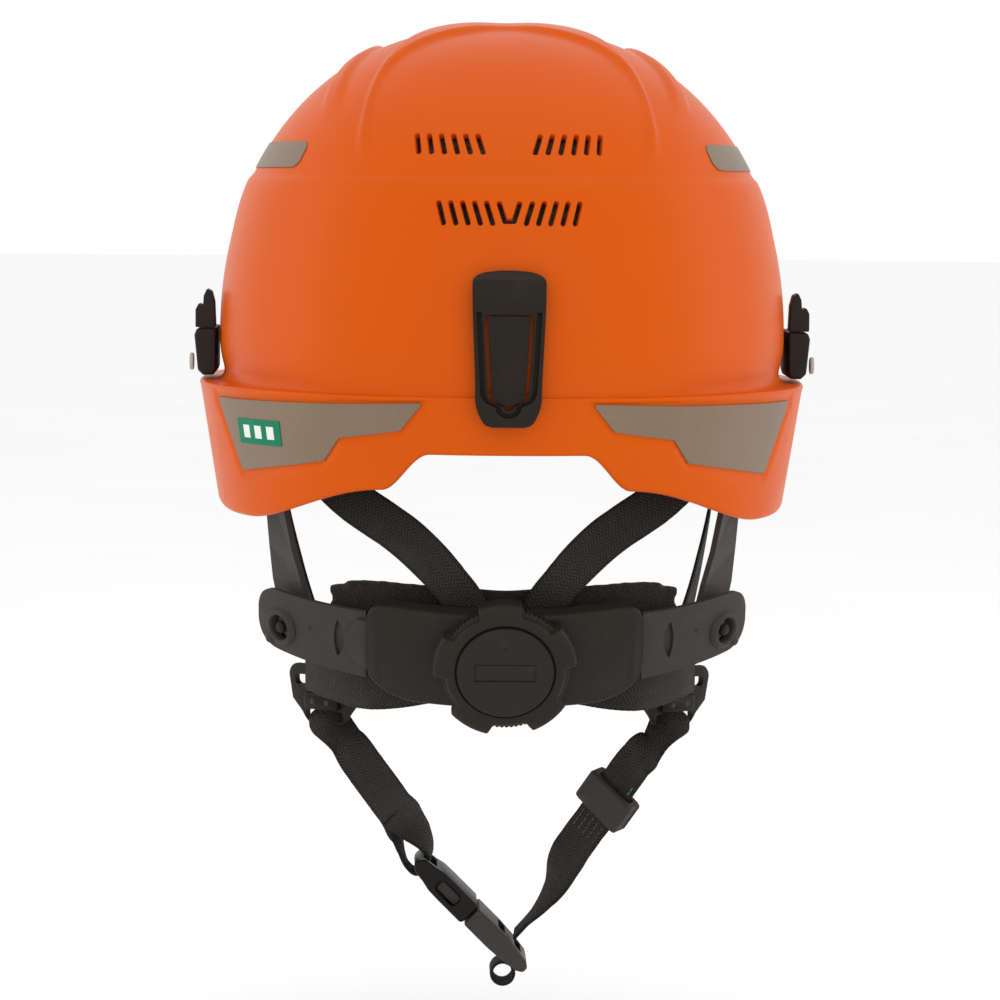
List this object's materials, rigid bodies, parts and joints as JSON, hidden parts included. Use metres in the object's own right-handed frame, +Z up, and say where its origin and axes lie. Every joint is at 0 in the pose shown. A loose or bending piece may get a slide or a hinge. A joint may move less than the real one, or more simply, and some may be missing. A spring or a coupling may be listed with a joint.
{
  "type": "climbing helmet",
  "caption": "Vented arborist climbing helmet with a ratchet nape adjuster, textile suspension and a four-point chin strap with a side-release buckle.",
  "frame": {"origin": "on the vertical axis of the wearer's head, level with the lowest stretch of the shell's rim at the sides", "axes": "+Z up, +Y forwards out of the wearer's face, +X to the wearer's right"},
  "size_m": [0.2314, 0.2717, 0.3638],
  "materials": {
    "shell_orange": "injection-moulded orange ABS, satin gloss with a fine moulded haze",
    "foam": "grey-brown expanded polystyrene beads",
    "reflective": "warm grey retro-reflective film, fine fabric-like texture",
    "label_green": "green printed film with plain white bars",
    "black_plastic": "satin black moulded nylon, fine grain",
    "dark_plastic": "dark grey-brown moulded acetal, satin",
    "light_plastic": "light grey moulded cap",
    "padding": "soft foam pad with a knitted brushed face",
    "webbing": "15 mm woven polyester webbing, ribbed weave",
    "steel": "plated steel"
  },
  "bodies": {
    "root": {"shell": "shell_orange", "foam_liner": "foam", "reflector_rear_left": "reflective", "reflector_rear_right": "reflective", "reflector_side_left": "reflective", "reflector_side_right": "reflective", "label_plate": "label_green", "rear_clip_frame": "black_plastic", "accessory_adapter_left": "black_plastic", "accessory_adapter_right": "black_plastic", "adapter_latch_left": "black_plastic", "adapter_latch_right": "black_plastic", "adapter_cap_left": "light_plastic", "adapter_cap_right": "light_plastic", "hanger_arm_left": "black_plastic", "hanger_arm_right": "black_plastic", "hanger_key_left": "black_plastic", "hanger_key_right": "black_plastic", "brow_band": "black_plastic", "brow_pad": "padding", "crown_strap_lower": "webbing", "crown_strap_upper": "webbing", "anchor_key_front_left": "black_plastic", "anchor_key_front_right": "black_plastic", "anchor_key_rear_left": "black_plastic", "anchor_key_rear_right": "black_plastic", "rear_strap_left": "webbing", "rear_strap_right": "webbing", "front_strap_left": "webbing", "front_strap_right": "webbing", "strap_divider_left": "black_plastic", "strap_divider_right": "black_plastic", "chin_strap_left": "webbing", "chin_strap_right": "webbing", "buckle_socket": "black_plastic"},
    "nape": {"nape_wing_left": "dark_plastic", "nape_wing_right": "dark_plastic", "pivot_stud_left": "black_plastic", "pivot_stud_right": "black_plastic", "ratchet_housing": "black_plastic", "ratchet_back_plate": "black_plastic", "nape_pad": "padding"},
    "knob": {"adjuster_knob": "black_plastic", "knob_cap": "dark_plastic", "knob_screw": "steel", "pinion": "black_plastic", "detent_spring": "steel"},
    "tail_left": {"band_tail_left": "dark_plastic"},
    "tail_right": {"band_tail_right": "dark_plastic"},
    "clip_tongue": {"rear_clip_tongue": "black_plastic"},
    "lever_left": {"divider_lever_left": "black_plastic"},
    "lever_right": {"divider_lever_right": "black_plastic"},
    "keeper": {"strap_keeper": "dark_plastic"},
    "buckle_plug": {"buckle_plug": "dark_plastic", "strap_tail_loop": "webbing"},
    "prong_rear": {"buckle_prong_rear": "dark_plastic"},
    "prong_front": {"buckle_prong_front": "dark_plastic"}
  },
  "joints": [
    {"name": "nape_tilt", "type": "hinge", "parent": "root", "child": "nape", "pos_m": [0, -0.065, -0.04], "axis": [1, 0, 0], "range_deg": [-8, 8], "deforming": ["rear_strap_left", "rear_strap_right"]},
    {"name": "knob_spin", "type": "hinge", "parent": "nape", "child": "knob", "pos_m": [0, -0.10649, -0.04822], "axis": [0, -0.9511, -0.309], "range_deg": [0, 150]},
    {"name": "tail_left_slide", "type": "hinge", "parent": "nape", "child": "tail_left", "pos_m": [0, 0.00157, -0.01837], "axis": [0, -0.309, 0.9511], "range_deg": [-9, 0]},
    {"name": "tail_right_slide", "type": "hinge", "parent": "nape", "child": "tail_right", "pos_m": [0, 0.00157, -0.01837], "axis": [0, -0.309, 0.9511], "range_deg": [0, 9]},
    {"name": "clip_tongue_flex", "type": "hinge", "parent": "root", "child": "clip_tongue", "pos_m": [0, -0.1288, 0.0744], "axis": [1, 0, 0], "range_deg": [-10, 0], "stiffness_Nm_per_rad": 0.2},
    {"name": "lever_left_flip", "type": "hinge", "parent": "root", "child": "lever_left", "pos_m": [-0.06646, -0.02709, -0.0702], "axis": [0.7828, -0.6222, 0], "range_deg": [-60, 0]},
    {"name": "lever_right_flip", "type": "hinge", "parent": "root", "child": "lever_right", "pos_m": [0.06646, -0.02709, -0.0702], "axis": [0.7828, 0.6222, 0], "range_deg": [-60, 0]},
    {"name": "keeper_slide", "type": "slide", "parent": "root", "child": "keeper", "axis": [-0.4575, 0.4575, -0.7625], "range_m": [-0.008, 0.008]},
    {"name": "buckle_release", "type": "slide", "parent": "root", "child": "buckle_plug", "axis": [0.7071, 0, -0.7071], "range_m": [0, 0.02], "deforming": ["chin_strap_right"]},
    {"name": "prong_rear_squeeze", "type": "hinge", "parent": "buckle_plug", "child": "prong_rear", "pos_m": [-0.00979, 0.0083, -0.15921], "axis": [0.7071, 0, 0.7071], "range_deg": [-7, 0], "stiffness_Nm_per_rad": 0.05},
    {"name": "prong_front_squeeze", "type": "hinge", "parent": "buckle_plug", "child": "prong_front", "pos_m": [-0.00979, 0.0197, -0.15921], "axis": [0.7071, 0, 0.7071], "range_deg": [0, 7]}
  ],
  "couplings": [
    {"joint": "tail_left_slide", "follows": "knob_spin", "ratio": -0.059581},
    {"joint": "tail_right_slide", "follows": "knob_spin", "ratio": 0.05771},
    {"joint": "prong_front_squeeze", "follows": "prong_rear_squeeze", "ratio": -1}
  ]
}
